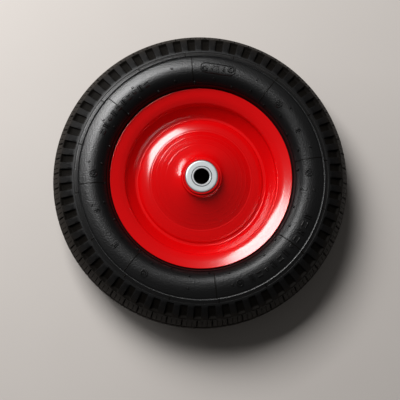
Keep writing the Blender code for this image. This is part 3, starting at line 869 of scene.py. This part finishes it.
def valve_frame():
    """Frame on the rear half's sheet between valley and seat, Z out of the trough."""
    low = Vector((VALLEY_END, -VALLEY_HEIGHT))
    high = Vector((SEAT_RADIUS - SHEET / 2 - SEAT_TAPER, -SEAT_START))
    run = (high - low).normalized()
    out = Vector((run.y, -run.x))
    middle = (low + high) / 2
    turn = Matrix.Rotation(VALVE_ANGLE, 4, "Z")
    tilt = Matrix.Rotation(math.atan2(out.x, out.y), 4, "Y")
    return turn @ Matrix.Translation((middle.x, 0, middle.y)) @ tilt


def cut_valve_hole(rim, place):
    radius, reach = VALVE_RADIUS + FIT, 2 * SHEET
    hole = revolve("rim_valve_hole", [(0, -reach), (radius, -reach), (radius, reach), (0, reach)],
                   VALVE_SEGMENTS, RED)
    cut(rim, placed(hole, place), "DIFFERENCE")


def tube_ring(shrink):
    """Section of the inner tube, drawn in from the tyre's inside by its gap and a shrink."""
    points = tyre_inside()
    middle = Vector(((SEAT_RADIUS + INSIDE_RADIUS) / 2, 0))
    low = [Vector((TUBE_BASE, points[0].y / 2)), Vector((TUBE_BASE + BEAD_HEIGHT, points[0].y))]
    section = [point + (middle - point).normalized() * (INNER_TUBE_GAP + shrink)
               for point in low + points[1:]]
    return [(r, z) for r, z in section] + [(r, -z) for r, z in section[::-1]]


def inner_tube(place):
    """Hollow tube with its moulded valve, which has a collar outside the rim's sheet."""
    root, bore_end = -0.020, 0.035
    collar = ((0, 0.0012), (0.0012, 0.0012), (0.0014, 0.0018), (0.0010, 0.0026), (0, 0.0032))
    made = revolve("inner_tube_skin", tube_ring(0), TUBE_SEGMENTS, SOFT_RUBBER, 60)
    hollow = revolve("air_space", tube_ring(INNER_TUBE_WALL), TUBE_SEGMENTS, SOFT_RUBBER, 60)
    outline = [(0, root), (VALVE_RADIUS, root)]
    outline += [(VALVE_RADIUS + out, z) for out, z in collar]
    outline += [(VALVE_RADIUS, VALVE_LENGTH / 2),
                (VALVE_TIP_RADIUS, VALVE_LENGTH - VALVE_TIP_BEVEL),
                (VALVE_TIP_RADIUS - VALVE_TIP_BEVEL, VALVE_LENGTH), (0, VALVE_LENGTH)]
    stem = placed(revolve("valve_rubber", outline, VALVE_SEGMENTS, SOFT_RUBBER), place)
    radius = INSERT_RADIUS + FIT
    outline = [(0, 2 * root), (radius, 2 * root), (radius, bore_end), (0, bore_end)]
    bore = placed(revolve("valve_bore", outline, VALVE_SEGMENTS, SOFT_RUBBER), place)
    cut(made, stem, "UNION")
    cut(made, hollow, "DIFFERENCE")
    cut(made, bore, "DIFFERENCE")
    show(made, "wheel", "inner_tube")


def threaded(radius, depth, pitch, start, end):
    """Outer line of a thread, drawn as rings."""
    line, z = [], start
    while z + pitch < end:
        line += [(radius - depth, z), (radius, z + pitch / 2)]
        z += pitch
    return line + [(radius - depth, z)]


def valve(place):
    """Brass insert with its core and pin, and the cap, along the valve's own Z."""
    core_bevels = (0.0001, 0.0002)
    foot = VALVE_LENGTH + FIT
    tip = VALVE_LENGTH + INSERT_HEAD_LENGTH
    insert = [(INSERT_INNER_RADIUS, -SHEET), (INSERT_RADIUS, -SHEET), (INSERT_RADIUS, foot)]
    insert += threaded(INSERT_HEAD_RADIUS, THREAD_DEPTH, THREAD_PITCH, foot, tip)
    insert += [(INSERT_HEAD_RADIUS - INSERT_TIP_BEVEL, tip), (INSERT_BORE_RADIUS, tip),
               (INSERT_BORE_RADIUS, VALVE_LENGTH / 2),
               (INSERT_INNER_RADIUS, VALVE_LENGTH / 2)]
    core_top = tip - CORE_DEPTH
    core_foot = core_top - CORE_LENGTH
    core = block(CORE_BORE_RADIUS, CORE_RADIUS, core_foot, core_top, *core_bevels)
    seal_top = core_foot - FIT
    seal_foot = seal_top - PIN_SEAL_THICKNESS
    pin = [(0, seal_foot), (PIN_SEAL_RADIUS, seal_foot), (PIN_SEAL_RADIUS, seal_top),
           (PIN_RADIUS, seal_top), (PIN_RADIUS, tip - PIN_POINT), (PIN_TIP_RADIUS, tip - FIT),
           (0, tip - FIT)]
    for name, section, segments, body in (("valve_stem", insert, VALVE_SEGMENTS, "wheel"),
                                          ("valve_core", core, CORE_SEGMENTS, "wheel"),
                                          ("valve_pin", pin, PIN_SEGMENTS, "valve_pin")):
        made = placed(revolve(name + "_skin", section, segments, BRASS), place)
        show(made, body, name)
    cap(place, tip)


def cap(place, tip):
    """Cap with grooves between the grip ribs around its skirt and a crown that narrows in two
    steps. The section is (radius, height, share of the groove)."""
    roof = tip + FIT
    foot, top = roof - CAP_SKIRT, tip + CAP_CROWN
    bore, edge = INSERT_HEAD_RADIUS + FIT, CAP_RADIUS - CAP_BEVEL
    groove = np.array([0, 0.0003, 0.00035, 0.0003] * CAP_RIBS)
    collar, groove_foot, groove_top = foot + 0.0008, foot + 0.0012, tip - 0.0003
    crown_foot, crown_middle = tip + 0.0004, tip + 0.0014
    section = [(edge, foot, 0), (CAP_RADIUS, collar, 0), (CAP_RADIUS, groove_foot, 1),
               (CAP_RADIUS, groove_top, 1), (edge, crown_foot, 0),
               (CAP_RADIUS - 0.0006, crown_middle, 0), (CAP_RADIUS - 0.0014, top, 0),
               (0, top, 0), (0, roof, 0), (bore, roof, 0), (bore, foot, 0)]
    angles = full_turn(len(groove))
    points, faces = bridge([turned(r - groove * share, z, angles) for r, z, share in section])
    made = placed(finish("valve_cap_skin", points, faces, PLASTIC, 30), place)
    show(made, "valve_cap", "valve_cap")


def kept_nodes():
    """Balls and cages, which the shields hide, are shown as they are in the CAD."""
    for name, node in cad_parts.items():
        if "ball" in name or "cage" in name:
            node.data.materials.clear()
            node.data.materials.append(STEEL)


# Stage, lights and camera

def floor(height):
    reach = 4
    paint = look("floor_paint", (0.68, 0.632, 0.593), (0.72, 0.671, 0.630), 0.9, wear=6.0)
    corners = [(x * reach, y * reach, height) for x, y in ((-1, -1), (1, -1), (1, 1), (-1, 1))]
    made = finish("floor", corners, [[0, 1, 2, 3]], paint)


def softbox(name, azimuth, off_axis, distance, width, height, watts):
    """Area light that looks at the wheel's middle, placed by its angles from +X and +Z."""
    data = bpy.data.lights.new(name, "AREA")
    data.shape = "RECTANGLE"
    data.size, data.size_y = width, height
    data.energy = watts
    light = bpy.data.objects.new(name, data)
    turn, lean = math.radians(azimuth), math.radians(off_axis)
    towards = Vector((math.sin(lean) * math.cos(turn), math.sin(lean) * math.sin(turn),
                      math.cos(lean)))
    light.location = towards * distance
    light.rotation_euler = towards.to_track_quat("Z", "Y").to_euler()
    bpy.context.scene.collection.objects.link(light)


def lights():
    softbox("key", azimuth=124, off_axis=38, distance=2.2, width=1.05, height=1.05, watts=46.0)
    softbox("side", azimuth=145, off_axis=79.5, distance=1.4, width=1.00, height=0.20, watts=8.0)
    world = bpy.data.worlds.new("world")
    bpy.context.scene.world = world
    world.use_nodes = True
    sky = world.node_tree.nodes["Background"]
    sky.inputs["Color"].default_value = (1.0, 0.985, 0.965, 1)
    sky.inputs["Strength"].default_value = 0.05


def camera():
    """Camera over the wheel, 8 degrees off its axis, with +Y up in the picture."""
    distance, width = 1.6, 0.531
    aim = Vector((-0.0006, -0.0249, 0))
    back = Vector((-0.036, -0.136, 0.990)).normalized()
    across = Vector((0, 1, 0)).cross(back).normalized()
    up = back.cross(across)
    data = bpy.data.cameras.new("camera")
    data.angle = 2 * math.atan(width / 2 / distance)
    made = bpy.data.objects.new("camera", data)
    made.matrix_world = Matrix.Translation(aim + back * distance) @ Matrix(
        (across, up, back)).transposed().to_4x4()
    bpy.context.scene.collection.objects.link(made)
    bpy.context.scene.camera = made


rim_half("front", 1)
rear_half = rim_half("rear", -1)
tyre()
relief()
hub()
valve_place = valve_frame()
cut_valve_hole(rear_half, valve_place)
inner_tube(valve_place)
valve(valve_place)
kept_nodes()
floor(low_before.z)
lights()
camera()

bpy.context.scene.view_settings.view_transform = "Standard"
